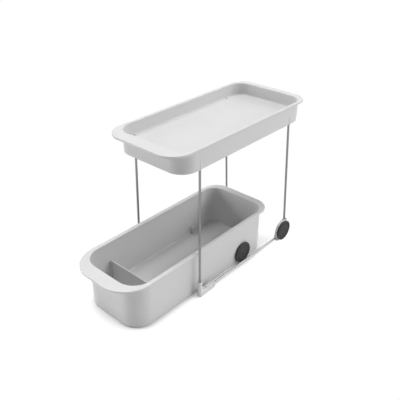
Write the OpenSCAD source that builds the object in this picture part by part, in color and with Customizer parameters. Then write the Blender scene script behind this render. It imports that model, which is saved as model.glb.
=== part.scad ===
// Two-tier under-sink caddy: a shallow tray on a wire frame with rear wheels,
// standing over a long bin that rolls out from under it on its own wheels.
// x runs across with the right side positive, y runs along with the pull end
// negative, and z is up from the floor. The origin lies on the floor under
// the middle of the whole object, with the bin as it stands in the picture.
// Side pieces are drawn for the right and mirrored for the left.

/* [Tray] */
// Height of the tray rim above the floor
rim_z = 360; // [330:1:400]
// Length of the tray over its rim
tray_l = 448; // [430:1:470]
// Width of the tray over its rim
tray_w = 202; // [190:1:230]
// Height of the tray from its skirt edge to the top of its rim
tray_h = 49; // [44:1:60]
// Depth of the tray from its rim to its floor
tray_depth = 30; // [24:1:34]
// Width of the rim at the pull end
tray_lip_front = 29; // [20:1:36]
// Width of the rim at the rear
tray_lip_rear = 16; // [12:1:22]
// Width of the rim along each side
tray_lip_side = 7; // [6:0.5:12]
// Height of the edge band round the rim
tray_band_h = 5; // [4:0.5:8]
// Thickness of the tray wall and floor
tray_wall = 2.5; // [2:0.1:3.5]
// How far each wall leans in from the rim to the skirt edge
tray_lean = 1.2; // [0.6:0.1:4]
// Corner radius of the tray rim at the pull end
tray_rim_front_r = 45; // [38:1:55]
// Corner radius of the tray rim at the rear
tray_rim_rear_r = 36; // [32:1:45]
// Corner radius of the tray mouth at the pull end
tray_mouth_front_r = 37; // [30:1:40]
// Corner radius of the tray mouth at the rear
tray_mouth_rear_r = 32.5; // [26:0.5:36]

/* [Bin] */
// Length of the bin over its rim
bin_l = 474; // [460:1:490]
// Height of the bin rim above the floor
bin_h = 112; // [100:1:130]
// How far the bin stands out ahead of the tray
pull_out = 133; // [110:1:150]
// Gap between the bin rim and the nearest upright
bin_side_gap = 1.1; // [0.8:0.1:3]
// Width of the bin rim at the pull end
bin_lip_front = 32.5; // [24:0.5:40]
// Width of the bin rim at the rear
bin_lip_rear = 18.5; // [14:0.5:24]
// Width of the bin rim along each side
bin_lip_side = 9.6; // [9.5:0.1:12]
// Height of the edge band round the bin rim
bin_band_h = 4; // [3.5:0.5:7]
// Thickness of the bin wall and floor
bin_wall = 2.8; // [2.2:0.1:3.2]
// Height of the bin floor above the ground
bin_floor_z = 8; // [7:0.5:12]
// Gap between the bin underside and the ground
bin_ground_gap = 1; // [0.8:0.1:2.5]
// How far each bin wall leans in from rim to base
bin_lean = 1.1; // [0.5:0.1:3]
// Corner radius of the bin rim at the pull end
bin_rim_front_r = 67; // [56:1:75]
// Corner radius of the bin rim at the rear
bin_rim_rear_r = 42; // [38:1:50]
// Corner radius of the bin mouth at the pull end
bin_mouth_front_r = 43; // [36:1:48]
// Corner radius of the bin mouth at the rear
bin_mouth_rear_r = 32.5; // [26:0.5:36]
// Rounding of the bin's lower edge
bin_edge_r = 3.5; // [2.5:0.5:6]

/* [Divider] */
// Distance of the divider behind the bin mouth's front edge
divider_back = 73.5; // [60:0.5:100]
// Height of the divider's top edge above the ground
divider_top = 65.5; // [50:0.5:90]
// Thickness of the divider
divider_t = 2.4; // [2:0.1:4]
// Size of each guide rib that holds the divider
guide_rib = 2.4; // [2:0.1:3.5]

/* [Wire frame] */
// Diameter of the frame wire
wire_d = 5; // [4.5:0.1:5.5]
// Distance of the front uprights behind the tray's front rim, at the skirt
front_setback = 78; // [70:1:95]
// Distance of the rear uprights ahead of the tray's rear rim, at the skirt
rear_setback = 66; // [55:1:80]
// How far the upright's axis stands inside the skirt's outer face
upright_in = 2.3; // [1.5:0.1:3]
// How far the front uprights reach forward from the skirt to the floor
front_rake = 6; // [3:0.5:10]
// How far the rear uprights reach backward from the skirt to the floor
rear_rake = 16; // [12:0.5:20]
// How far the front uprights spread outward from the skirt to the floor
front_spread = 4.2; // [3:0.1:5]
// How far the rear uprights spread outward from the skirt to the floor
rear_spread = 2.6; // [2:0.1:4]
// Height of the rail wire's axis above the ground
rail_z = 9; // [8.5:0.1:10]
// Depth that a wire end reaches into its socket
wire_grip = 14; // [10:1:16]

/* [Front foot] */
// Diameter of the foot's vertical tube
foot_tube_d = 11.2; // [10.8:0.1:12.5]
// Height of the foot's tube above the ground
foot_tube_h = 39; // [34:1:50]
// Length of the foot's arm from the tube's axis to its end
foot_arm_l = 44; // [40:1:55]
// Height of the top of the foot's arm above the ground
foot_arm_h = 14; // [13.5:0.5:17]
// Gap between the moulded foot and the ground
foot_ground_gap = 1.5; // [1:0.1:2.5]

/* [Wheels] */
// Diameter of every wheel
wheel_d = 52; // [50:0.5:54]
// Width of every wheel
wheel_t = 4.6; // [4.4:0.1:5]
// Diameter of the hub that the tyre sits on
hub_d = 43; // [41:0.5:45]
// Diameter of the hub cap
cap_d = 35; // [30:0.5:38]
// Thickness of the hub cap
cap_t = 1.2; // [1:0.1:1.4]
// Diameter of the wheel axle
axle_d = 5; // [4:0.1:6]
// Diameter of the axle's head
head_d = 9; // [8:0.1:12]
// Thickness of the axle's head
head_t = 0.8; // [0.6:0.1:1]
// Distance of the frame wheel's axle ahead of the rear upright's foot
wheel_lead = 17.5; // [15:0.5:20]
// Distance of the bin wheel's axle ahead of the bin's rear rim
bin_wheel_in = 104; // [90:1:130]

/* [Clearances] */
// Radial gap of a wire, pin or plug that is pressed home
press_gap = 0.03; // [0.02:0.01:0.05]
// Radial gap of a wheel on its axle
run_gap = 0.05; // [0.04:0.01:0.08]
// Gap between a wheel and what stands beside it
side_gap = 0.3; // [0.3:0.05:0.5]

/* [Hidden] */
$fn = 96;

// Thickness of the thin slices that a wall is stretched between
slice = 0.02;
// Extra length of a cut past the face that it opens
past = 1;

// Overall length and the y of both tiers' ends
total_l = tray_l + pull_out;
tray_y0 = total_l / 2 - tray_l;
tray_y1 = total_l / 2;
bin_y0 = -total_l / 2;
bin_y1 = bin_y0 + bin_l;

// Outlines are [half width, front y, rear y, front radius, rear radius]
tray_rim = [tray_w / 2, tray_y0, tray_y1, tray_rim_front_r, tray_rim_rear_r];
tray_mouth = [
    tray_w / 2 - tray_lip_side, tray_y0 + tray_lip_front, tray_y1 - tray_lip_rear,
    tray_mouth_front_r, tray_mouth_rear_r
];

// Heights of the tray's skirt edge and floor
skirt_z = rim_z - tray_h;
tray_floor_z = rim_z - tray_depth;

// Uprights as [foot, top], where the foot lies on the ground and the top at the skirt edge
upright_x = tray_mouth[0] + tray_wall - tray_lean - upright_in;
front_top_y = tray_y0 + front_setback;
rear_top_y = tray_y1 - rear_setback;
front_post = [
    [upright_x + front_spread, front_top_y - front_rake, 0],
    [upright_x, front_top_y, skirt_z]
];
rear_post = [
    [upright_x + rear_spread, rear_top_y + rear_rake, 0],
    [upright_x, rear_top_y, skirt_z]
];
wire_r = wire_d / 2;

// Point on an upright's axis at a height
function post_at(post, z) = post[0] + (post[1] - post[0]) * z / skirt_z;

// Bin width follows the narrowest pair of uprights at the height of its rim
narrow_x = min(post_at(front_post, bin_h).x, post_at(rear_post, bin_h).x);
bin_rim_x = narrow_x - wire_r - bin_side_gap;
bin_rim = [bin_rim_x, bin_y0, bin_y1, bin_rim_front_r, bin_rim_rear_r];
bin_mouth = [
    bin_rim_x - bin_lip_side, bin_y0 + bin_lip_front, bin_y1 - bin_lip_rear,
    bin_mouth_front_r, bin_mouth_rear_r
];
bin_body_x = bin_mouth[0] + bin_wall;

// Inset of an inner wall face at a height, measured from the mouth
function tray_inset(z) = tray_lean * (rim_z - z) / tray_h;
function bin_inset(z) = bin_lean * (bin_h - z) / (bin_h - bin_ground_gap);

// Tray sockets: bosses round the wire ends at the skirt
socket_r = wire_r + 1.1;
socket_top_z = tray_floor_z + 3;
socket_drop = 0.8;
socket_turn = 45;
upright_top_z = tray_floor_z - 1.5;
upright_seat_z = 7;
floor_fillet = 4;

// Rim plates behind the edge bands
rim_plate_t = 2.6;
band_w = 2.4;

// Front foot
foot_at = post_at(front_post, foot_arm_h / 2);
foot_tube_r = foot_tube_d / 2;
foot_step_h = 5;
foot_step_r = foot_tube_r - 0.5;
mouth_r = wire_r + 1.2;
mouth_depth = 2;
foot_base_r = foot_tube_r + 0.3;
foot_arm_w = foot_tube_d - 0.8;
foot_end_y = foot_at.y + foot_arm_l;
foot_collar_l = 5;
foot_collar_r = 6.2;
foot_collar_out = 1;
gusset_w = 4.5;
gusset_l = 3;
gusset_h = 8;
gusset_root = 1;
foot_slot = [3, 13, 3];
foot_slot_y = foot_at.y + foot_tube_r + 4;
pad_inset = 1.6;
pad_recess = 0.6;

// Wheels
wheel_r = wheel_d / 2;
hub_r = hub_d / 2;
cap_r = cap_d / 2;
axle_r = axle_d / 2;
head_r = head_d / 2;
tread_edge = 0.9;
head_gap = 0.1;
head_y = cap_t + 2 * head_gap + head_t;
wheel_y = rear_post[0].y - wheel_lead;

// Rear bracket: plate, two rings, sockets and axle boss
plate_x = rear_post[0].x + 1.7;
plate_t = 2.2;
ring_r = wheel_r + 0.8;
ring_step_r = wheel_r - 0.6;
ring_w = 2.2;
ring_depth = 1.2;
cup_face_x = plate_x + plate_t + 3;
frame_wheel_x = cup_face_x + side_gap + wheel_t;
bracket_ground_gap = 1.5;
boss_r = axle_r + 3.6;
frame_boss_in = 4;
rail_x = foot_at.x;
rail_end_y = wheel_y - 20;
rear_tube_r = foot_tube_r - 0.1;
rear_tube_top = wheel_r + ring_r * 0.78;
rear_tube_base = 12;
lobe_l = wire_grip + 3;
lobe_top = rail_z + wire_r + 3;
lug_d = 4.4;
lug_h = 5.5;

// Bin wheels and their bosses
bin_wheel_x = bin_body_x + side_gap + wheel_t;
bin_wheel_y = bin_y1 - bin_wheel_in;
bin_boss_l = 9;
bin_rib_w = 3;

// Glides under the bin's front
glide_r = 9;
glide_plug_r = 3;
glide_x = bin_mouth[0] - 27;
glide_y = bin_mouth[1] + 27;

// Divider and its guides
divider_y = bin_mouth[1] + divider_back;
divider_gap = 0.3;
divider_foot_z = bin_floor_z + divider_gap;

// Outline drawn in plan, drawn in all round by an inset
module plan(outline, inset) {
    x = outline[0] - inset;
    y0 = outline[1] + inset;
    y1 = outline[2] - inset;
    rf = outline[3] - inset;
    rr = outline[4] - inset;
    mid = (y0 + y1) / 2;
    translate([-x, y0 + rf]) square([2 * x, y1 - rr - y0 - rf]);
    translate([rf - x, y0]) square([2 * (x - rf), mid - y0]);
    translate([rr - x, mid]) square([2 * (x - rr), y1 - mid]);
    for (s = [-1, 1]) {
        translate([s * (x - rf), y0 + rf]) circle(rf);
        translate([s * (x - rr), y1 - rr]) circle(rr);
    }
}

// Flat layer of an outline, from a height upward
module layer(outline, inset, z, h) {
    translate([0, 0, z]) linear_extrude(h) plan(outline, inset);
}

// Rim: a plate with a deeper band along its edge
module rim(outline, z, band_h) {
    layer(outline, 0, z - rim_plate_t, rim_plate_t);
    difference() {
        layer(outline, 0, z - band_h, band_h);
        layer(outline, band_w, z - band_h - past, band_h + 2 * past);
    }
}

// Turns what stands on the z axis so that it starts at one point and aims at another
module aim(a, b) {
    v = b - a;
    translate(a) rotate([0, acos(v.z / norm(v)), atan2(v.y, v.x)]) children();
}

// Round bar between two points
module bar(a, b, r) {
    aim(a, b) cylinder(h = norm(b - a), r = r);
}

// Round bar along an upright between two heights
module along(post, z0, z1, r) {
    bar(post_at(post, z0), post_at(post, z1), r);
}

// Hole for an upright's lower end, with a wider mouth at the top of its socket
module upright_hole(post, z_top) {
    a = post_at(post, upright_seat_z - press_gap);
    b = post_at(post, z_top);
    deep = norm(b - a);
    aim(a, b) rotate_extrude() polygon([
        [0, 0], [wire_r + press_gap, 0], [wire_r + press_gap, deep - mouth_depth],
        [mouth_r, deep - mouth_depth], [mouth_r, deep + wire_r], [0, deep + wire_r]
    ]);
}

// Round solid about the x axis from an outline of [radius, x]
module lathe_x(points) {
    rotate([0, 90, 0]) rotate_extrude() polygon(points);
}

module left() {
    mirror([1, 0, 0]) children();
}

module both() {
    children();
    left() children();
}

// Tray

// Boss that takes an upright's upper end, from just below the skirt edge.
// It is turned about its axis so that no seam of it meets the skirt edge.
module tray_socket(post) {
    a = post_at(post, skirt_z - socket_drop);
    b = post_at(post, socket_top_z);
    aim(a, b) rotate([0, 0, socket_turn]) cylinder(h = norm(b - a), r = socket_r);
}

module tray_sockets() {
    both() {
        tray_socket(front_post);
        tray_socket(rear_post);
    }
}

// Space inside the tray, above its floor
module tray_inside() {
    hull() {
        layer(tray_mouth, 0, rim_z, past);
        layer(tray_mouth, tray_inset(tray_floor_z + floor_fillet),
            tray_floor_z + floor_fillet, slice);
        layer(tray_mouth, tray_inset(tray_floor_z) + floor_fillet, tray_floor_z, slice);
    }
}

// Space inside the skirt, below the tray's floor
module tray_underside() {
    hull() {
        layer(tray_mouth, tray_inset(skirt_z), skirt_z - past, past);
        layer(tray_mouth, tray_inset(tray_floor_z - tray_wall),
            tray_floor_z - tray_wall - slice, slice);
    }
}

module upper_tray() {
    color("#e3e4e2") difference() {
        union() {
            rim(tray_rim, rim_z, tray_band_h);
            hull() {
                layer(tray_mouth, -tray_wall, rim_z - slice, slice);
                layer(tray_mouth, tray_inset(skirt_z) - tray_wall, skirt_z, slice);
            }
            tray_sockets();
        }
        difference() {
            tray_inside();
            tray_sockets();
        }
        difference() {
            tray_underside();
            tray_sockets();
        }
        both() {
            along(front_post, skirt_z - past, upright_top_z + press_gap, wire_r + press_gap);
            along(rear_post, skirt_z - past, upright_top_z + press_gap, wire_r + press_gap);
        }
    }
}

// Wire frame

module upright(post) {
    color("#9a9a98") along(post, upright_seat_z, upright_top_z, wire_r);
}

module front_upright_right() {
    upright(front_post);
}

module front_upright_left() {
    left() upright(front_post);
}

module rear_upright_right() {
    upright(rear_post);
}

module rear_upright_left() {
    left() upright(rear_post);
}

module rail_wire() {
    color("#9a9a98")
        bar([rail_x, foot_end_y - wire_grip, rail_z], [rail_x, rail_end_y + wire_grip, rail_z], wire_r);
}

module rail_wire_right() {
    rail_wire();
}

module rail_wire_left() {
    left() rail_wire();
}

// Front foot

module foot_solid() {
    low = post_at(front_post, foot_arm_h / 2);
    top = post_at(front_post, foot_tube_h);
    tube_l = norm(top - low);
    aim(low, top) rotate_extrude() polygon([
        [0, 0], [foot_tube_r, 0], [foot_tube_r, tube_l - foot_step_h],
        [foot_step_r, tube_l - foot_step_h], [foot_step_r, tube_l], [0, tube_l]
    ]);
    translate([foot_at.x, foot_at.y, foot_ground_gap])
        cylinder(h = foot_arm_h - foot_ground_gap, r = foot_base_r);
    translate([foot_at.x - foot_arm_w / 2, foot_at.y, foot_ground_gap])
        cube([foot_arm_w, foot_arm_l, foot_arm_h - foot_ground_gap]);
    translate([foot_at.x, foot_end_y - foot_collar_l, rail_z])
        rotate([-90, 0, 0]) cylinder(h = foot_collar_l + foot_collar_out, r = foot_collar_r);
    translate([foot_at.x - gusset_w / 2, foot_at.y, foot_arm_h - gusset_root])
        rotate([90, 0, 90]) linear_extrude(gusset_w) polygon([
            [0, 0], [foot_tube_r + gusset_l, 0], [foot_tube_r + gusset_l, gusset_root],
            [foot_tube_r - gusset_root, gusset_root + gusset_h], [0, gusset_root + gusset_h]
        ]);
}

module front_foot() {
    difference() {
        foot_solid();
        upright_hole(front_post, foot_tube_h);
        bar([rail_x, foot_end_y - wire_grip - press_gap, rail_z],
            [rail_x, foot_end_y + 2 * past, rail_z], wire_r + press_gap);
        translate([foot_at.x - foot_slot.x / 2, foot_slot_y, foot_arm_h - foot_slot.z])
            cube([foot_slot.x, foot_slot.y, foot_slot.z + past]);
        pad_shape(foot_ground_gap - past, foot_ground_gap + pad_recess, 0);
    }
}

// Flat pad under the arm between two heights, drawn in by an inset
module pad_shape(z0, z1, inset) {
    w = foot_arm_w - 2 * pad_inset - 2 * inset;
    pad_l = foot_arm_l - foot_arm_w / 2;
    translate([foot_at.x, foot_at.y, z0]) linear_extrude(z1 - z0) {
        circle(d = w);
        translate([-w / 2, 0]) square([w, pad_l]);
        translate([0, pad_l]) circle(d = w);
    }
}

module foot_pad() {
    color("#4a4b4d") pad_shape(0, foot_ground_gap + pad_recess, press_gap);
}

module front_foot_right() {
    color("#d2d3d1") front_foot();
}

module front_foot_left() {
    color("#d2d3d1") left() front_foot();
}

module foot_pad_right() {
    foot_pad();
}

module foot_pad_left() {
    left() foot_pad();
}

// Rear bracket

module bracket_cup() {
    translate([plate_x, wheel_y, wheel_r]) {
        lathe_x([
            [0, 0], [ring_r, 0], [ring_r, plate_t + ring_depth],
            [ring_step_r, plate_t + ring_depth], [ring_step_r, cup_face_x - plate_x],
            [ring_step_r - ring_w, cup_face_x - plate_x], [ring_step_r - ring_w, plate_t],
            [0, plate_t]
        ]);
        lathe_x([[0, -frame_boss_in], [boss_r, -frame_boss_in],
            [boss_r, cup_face_x - plate_x], [0, cup_face_x - plate_x]]);
    }
}

module bracket_sockets() {
    top = post_at(rear_post, rear_tube_top);
    along(rear_post, rear_tube_base, rear_tube_top, rear_tube_r);
    translate([rail_x, rail_end_y, rail_z]) rotate([-90, 0, 0]) cylinder(h = lobe_l, r = rear_tube_r);
    translate([rail_x - rear_tube_r, rail_end_y, bracket_ground_gap])
        cube([cup_face_x - rail_x + rear_tube_r, lobe_l * 0.8, lobe_top - bracket_ground_gap]);
    translate([top.x + 2, top.y + rear_tube_r, rear_tube_top - lug_h + 2.5])
        cylinder(h = lug_h, d = lug_d);
    translate([top.x, top.y, rear_tube_top - lug_h + 2.5])
        cube([lug_d / 2 + 2, rear_tube_r, lug_h - 2.5]);
}

module rear_bracket() {
    difference() {
        union() {
            bracket_cup();
            bracket_sockets();
        }
        upright_hole(rear_post, rear_tube_top);
        bar([rail_x, rail_end_y - 2 * wire_r, rail_z],
            [rail_x, rail_end_y + wire_grip + press_gap, rail_z], wire_r + press_gap);
        translate([plate_x - frame_boss_in + 1, wheel_y, wheel_r]) rotate([0, 90, 0])
            cylinder(h = frame_boss_in + cup_face_x - plate_x + past, r = axle_r + press_gap);
        translate([plate_x - wheel_r, wheel_y - wheel_d, -past])
            cube([wheel_d, 2 * wheel_d, past + bracket_ground_gap]);
    }
}

module rear_bracket_right() {
    color("#d2d3d1") rear_bracket();
}

module rear_bracket_left() {
    color("#d2d3d1") left() rear_bracket();
}

// Wheel pieces about the x axis, with the outer face at zero

module tyre() {
    color("#2d2e30") lathe_x([
        [hub_r + press_gap, -wheel_t], [wheel_r - tread_edge, -wheel_t],
        [wheel_r, tread_edge - wheel_t], [wheel_r, -tread_edge],
        [wheel_r - tread_edge, 0], [hub_r + press_gap, 0]
    ]);
}

module hub() {
    color("#35363a") lathe_x([
        [axle_r + run_gap, -wheel_t], [hub_r, -wheel_t], [hub_r, 0], [cap_r + press_gap, 0],
        [cap_r + press_gap, -cap_t], [head_r + 2 * head_gap, -cap_t],
        [head_r + 2 * head_gap, -head_y], [axle_r + run_gap, -head_y]
    ]);
}

module cap() {
    color("#515358") lathe_x([
        [0, -cap_t], [cap_r, -cap_t], [cap_r, -0.3], [cap_r - 0.6, 0], [0, 0]
    ]);
}

module axle(reach) {
    color("#b6b7b8") lathe_x([
        [0, -reach], [axle_r, -reach], [axle_r, head_gap - head_y],
        [head_r, head_gap - head_y], [head_r, head_gap - head_y + head_t], [0, head_gap - head_y + head_t]
    ]);
}

module at_frame_wheel() {
    translate([frame_wheel_x, wheel_y, wheel_r]) children();
}

module at_bin_wheel() {
    translate([bin_wheel_x, bin_wheel_y, wheel_r]) children();
}

frame_axle_l = frame_wheel_x - plate_x + frame_boss_in - 1 - press_gap;
bin_axle_l = bin_wheel_x - bin_mouth[0] + bin_boss_l - 1.5;

module frame_axle_right() {
    at_frame_wheel() axle(frame_axle_l);
}

module frame_axle_left() {
    left() at_frame_wheel() axle(frame_axle_l);
}

module frame_hub_right() {
    at_frame_wheel() hub();
}

module frame_hub_left() {
    left() at_frame_wheel() hub();
}

module frame_tyre_right() {
    at_frame_wheel() tyre();
}

module frame_tyre_left() {
    left() at_frame_wheel() tyre();
}

module frame_cap_right() {
    at_frame_wheel() cap();
}

module frame_cap_left() {
    left() at_frame_wheel() cap();
}

module bin_axle_right() {
    at_bin_wheel() axle(bin_axle_l);
}

module bin_axle_left() {
    left() at_bin_wheel() axle(bin_axle_l);
}

module bin_hub_right() {
    at_bin_wheel() hub();
}

module bin_hub_left() {
    left() at_bin_wheel() hub();
}

module bin_tyre_right() {
    at_bin_wheel() tyre();
}

module bin_tyre_left() {
    left() at_bin_wheel() tyre();
}

module bin_cap_right() {
    at_bin_wheel() cap();
}

module bin_cap_left() {
    left() at_bin_wheel() cap();
}

// Bin

module bin_outside() {
    rim(bin_rim, bin_h, bin_band_h);
    hull() {
        layer(bin_mouth, -bin_wall, bin_h - slice, slice);
        layer(bin_mouth, bin_lean - bin_wall, bin_ground_gap + bin_edge_r, slice);
        layer(bin_mouth, bin_lean - bin_wall + bin_edge_r * 0.3,
            bin_ground_gap + bin_edge_r * 0.3, slice);
        layer(bin_mouth, bin_lean - bin_wall + bin_edge_r, bin_ground_gap, slice);
    }
}

module bin_inside() {
    hull() {
        layer(bin_mouth, 0, bin_h, past);
        layer(bin_mouth, bin_inset(bin_floor_z + floor_fillet), bin_floor_z + floor_fillet, slice);
        layer(bin_mouth, bin_inset(bin_floor_z) + floor_fillet, bin_floor_z, slice);
    }
}

// Boss inside the wall for the wheel's axle, with a rib down to the floor
module axle_boss() {
    x0 = bin_mouth[0] - bin_boss_l;
    x1 = bin_wheel_x - wheel_t - side_gap;
    translate([x0, bin_wheel_y, wheel_r]) rotate([0, 90, 0]) cylinder(h = x1 - x0, r = boss_r);
    translate([x0, bin_wheel_y - bin_rib_w / 2, bin_floor_z - 1])
        cube([bin_boss_l, bin_rib_w, wheel_r - bin_floor_z]);
}

// Pair of ribs that hold one end of the divider
module divider_guide() {
    x0 = bin_mouth[0] - bin_lean - guide_rib;
    gap = divider_t / 2 + divider_gap;
    for (y = [divider_y - gap - guide_rib, divider_y + gap])
        translate([x0, y, bin_floor_z - 1])
            cube([guide_rib + bin_lean + bin_wall / 2, guide_rib, divider_top - bin_floor_z]);
}

module bin_shell() {
    difference() {
        bin_outside();
        bin_inside();
        difference() {
            layer(bin_mouth, bin_edge_r + 2, bin_ground_gap - past,
                past + bin_floor_z - bin_wall - bin_ground_gap);
            both() translate([glide_x, glide_y, 0]) cylinder(h = bin_floor_z, r = glide_r);
        }
    }
    both() {
        axle_boss();
        divider_guide();
    }
}

module lower_bin() {
    color("#d4d5d3") difference() {
        bin_shell();
        both() {
            translate([bin_wheel_x - bin_axle_l - press_gap, bin_wheel_y, wheel_r]) rotate([0, 90, 0])
                cylinder(h = bin_axle_l, r = axle_r + press_gap);
            translate([glide_x, glide_y, bin_ground_gap - past])
                cylinder(h = bin_floor_z - bin_wall / 2 - bin_ground_gap + past, r = glide_plug_r + press_gap);
        }
    }
}

module divider() {
    x = bin_mouth[0] - bin_inset(bin_floor_z) - 2 * divider_gap;
    foot_x = x - floor_fillet;
    color("#dcdddb") translate([0, divider_y + divider_t / 2, 0]) rotate([90, 0, 0])
        linear_extrude(divider_t) polygon([
            [-foot_x, divider_foot_z], [foot_x, divider_foot_z],
            [x, divider_foot_z + floor_fillet], [x, divider_top],
            [-x, divider_top], [-x, divider_foot_z + floor_fillet]
        ]);
}

// Plug-in glide under the bin's front
module bin_glide() {
    color("#4a4b4d") translate([glide_x, glide_y, 0]) {
        cylinder(h = bin_ground_gap, r = glide_r - 0.5);
        cylinder(h = bin_floor_z - bin_wall / 2 - press_gap, r = glide_plug_r);
    }
}

module bin_glide_right() {
    bin_glide();
}

module bin_glide_left() {
    left() bin_glide();
}

upper_tray();
front_upright_right();
front_upright_left();
rear_upright_right();
rear_upright_left();
rail_wire_right();
rail_wire_left();
front_foot_right();
front_foot_left();
foot_pad_right();
foot_pad_left();
rear_bracket_right();
rear_bracket_left();
frame_axle_right();
frame_axle_left();
frame_hub_right();
frame_hub_left();
frame_tyre_right();
frame_tyre_left();
frame_cap_right();
frame_cap_left();
lower_bin();
divider();
bin_glide_right();
bin_glide_left();
bin_axle_right();
bin_axle_left();
bin_hub_right();
bin_hub_left();
bin_tyre_right();
bin_tyre_left();
bin_cap_right();
bin_cap_left();
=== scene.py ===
"""Two-tier caddy: a shallow tray on a wheeled wire frame, standing over a long bin that rolls out.

x runs across with the right side positive, y runs along with the pull end negative, and z is up
from the floor. Sizes are written in millimetres and turned into metres where a mesh is made.
"""

from __future__ import annotations

import logging
import math
from dataclasses import dataclass, field
from enum import Enum

import bmesh
import bpy
from mathutils import Matrix, Vector


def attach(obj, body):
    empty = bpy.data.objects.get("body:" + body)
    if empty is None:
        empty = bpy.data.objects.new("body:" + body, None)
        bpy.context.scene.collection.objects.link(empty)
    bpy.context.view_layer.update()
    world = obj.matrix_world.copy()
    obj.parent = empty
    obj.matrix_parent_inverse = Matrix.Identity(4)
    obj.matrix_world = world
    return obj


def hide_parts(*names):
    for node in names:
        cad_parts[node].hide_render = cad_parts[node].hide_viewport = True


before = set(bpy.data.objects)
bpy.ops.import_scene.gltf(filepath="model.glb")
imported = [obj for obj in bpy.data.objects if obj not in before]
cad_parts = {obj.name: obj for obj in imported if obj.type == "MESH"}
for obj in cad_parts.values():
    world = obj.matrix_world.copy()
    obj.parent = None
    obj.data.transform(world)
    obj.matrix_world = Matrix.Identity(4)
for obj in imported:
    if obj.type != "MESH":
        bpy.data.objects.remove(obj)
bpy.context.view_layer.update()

LOG = logging.getLogger("caddy")

# Metres in a millimetre, and the distance in metres within which corners become one
MM = 0.001
WELD = 1e-7
# Radius of the small face that ends a turned form at its axis
POLE_R = 0.2
# Steps and fullness of a rounded edge
EDGE_STEPS = 3
EDGE_PROFILE = 0.5
# Points round a boss, a wire and a wheel
BOSS_STEPS = 48
WIRE_STEPS = 32
WHEEL_STEPS = 96
# Angles in degrees above which an edge stays sharp
SHELL_CREASE = 38.0
SLIM_CREASE = 60.0
WHEEL_CREASE = 40.0
WHITE = (1.0, 1.0, 1.0, 1.0)
ACROSS = (1.0, 0.0, 0.0)
UP = (0.0, 0.0, 1.0)
# Places of the wheels' axles in y and z
FRAME_AXLE = (223.0, 26.0)
BIN_AXLE = (79.5, 26.0)
# Middle of the divider in y
DIVIDER_Y = -184.5

Pair = tuple[float, float]
Point = tuple[float, float, float]
Colour = tuple[float, float, float]
Rings = list[list[Vector]]


class Side(Enum):
    """The two sides of the caddy, with the sign of x on each."""

    RIGHT = 1
    LEFT = -1

    @property
    def label(self) -> str:
        """Word that ends the names of this side's nodes and bodies."""
        return self.name.lower()


class Body(Enum):
    """Bodies that move on their own; wheels add the side's word."""

    FRAME = "frame"
    BIN = "bin"
    DIVIDER = "divider"
    FRAME_WHEEL = "frame_wheel"
    BIN_WHEEL = "bin_wheel"

    def on(self, side: Side) -> str:
        """Name of this wheel's body on one side."""
        return f"{self.value}_{side.label}"


def quarter(centre: Pair, radius: float, start: float, end: float, steps: int) -> list[Pair]:
    """Points of an arc in a section.

    Args:
        centre: middle of the arc in the section's two measures.
        radius: radius of the arc in millimetres.
        start: angle of the first point in degrees.
        end: angle of the last point in degrees.
        steps: number of straight lengths.

    Returns:
        The points, the ends among them.
    """
    points = []
    for i in range(steps + 1):
        a = math.radians(start + (end - start) * i / steps)
        points.append((centre[0] + radius * math.cos(a), centre[1] + radius * math.sin(a)))
    return points


@dataclass
class Form:
    """A mesh in the making, with its corners in millimetres."""

    points: list[Vector] = field(default_factory=list)
    faces: list[tuple[int, ...]] = field(default_factory=list)

    def add(self, other: Form) -> Form:
        """Takes another form's faces into this one, and gives this one back."""
        base = len(self.points)
        self.points.extend(other.points)
        self.faces.extend(tuple(i + base for i in face) for face in other.faces)
        return self

    def mirrored(self) -> Form:
        """The form seen in a mirror across x."""
        points = [Vector((-p.x, p.y, p.z)) for p in self.points]
        return Form(points, [tuple(reversed(face)) for face in self.faces])

    def on(self, side: Side) -> Form:
        """The form as it is on one side, where it was drawn for the right."""
        return self if side is Side.RIGHT else self.mirrored()

    def skin(self, rings: Rings, cap_first: bool, cap_last: bool, closed: bool = False) -> Form:
        """Joins rings of points into a skin.

        Args:
            rings: rings with the same number of points each.
            cap_first: whether the first ring is closed by a face.
            cap_last: whether the last ring is closed by a face.
            closed: whether the last ring joins the first.

        Returns:
            This form.
        """
        base = len(self.points)
        count = len(rings[0])
        for ring in rings:
            self.points.extend(ring)
        last = len(rings) if closed else len(rings) - 1
        for r in range(last):
            low = base + r * count
            high = base + ((r + 1) % len(rings)) * count
            for i in range(count):
                j = (i + 1) % count
                self.faces.append((low + i, low + j, high + j, high + i))
        if cap_first:
            self.faces.append(tuple(base + i for i in reversed(range(count))))
        if cap_last:
            top = base + (len(rings) - 1) * count
            self.faces.append(tuple(top + i for i in range(count)))
        return self

    def build(self, name: str, crease: float = SHELL_CREASE) -> bpy.types.Object:
        """Makes the Blender object, in metres and linked to the scene."""
        mesh = bpy.data.meshes.new(name)
        mesh.from_pydata([p * MM for p in self.points], [], self.faces)
        shape = bmesh.new()
        shape.from_mesh(mesh)
        bmesh.ops.remove_doubles(shape, verts=shape.verts, dist=WELD)
        bmesh.ops.recalc_face_normals(shape, faces=shape.faces)
        shape.to_mesh(mesh)
        shape.free()
        mesh.shade_smooth()
        mesh.set_sharp_from_angle(angle=math.radians(crease))
        piece = bpy.data.objects.new(name, mesh)
        bpy.context.scene.collection.objects.link(piece)
        weighted = piece.modifiers.new("even_shading", "WEIGHTED_NORMAL")
        weighted.keep_sharp = True
        return piece


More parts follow.
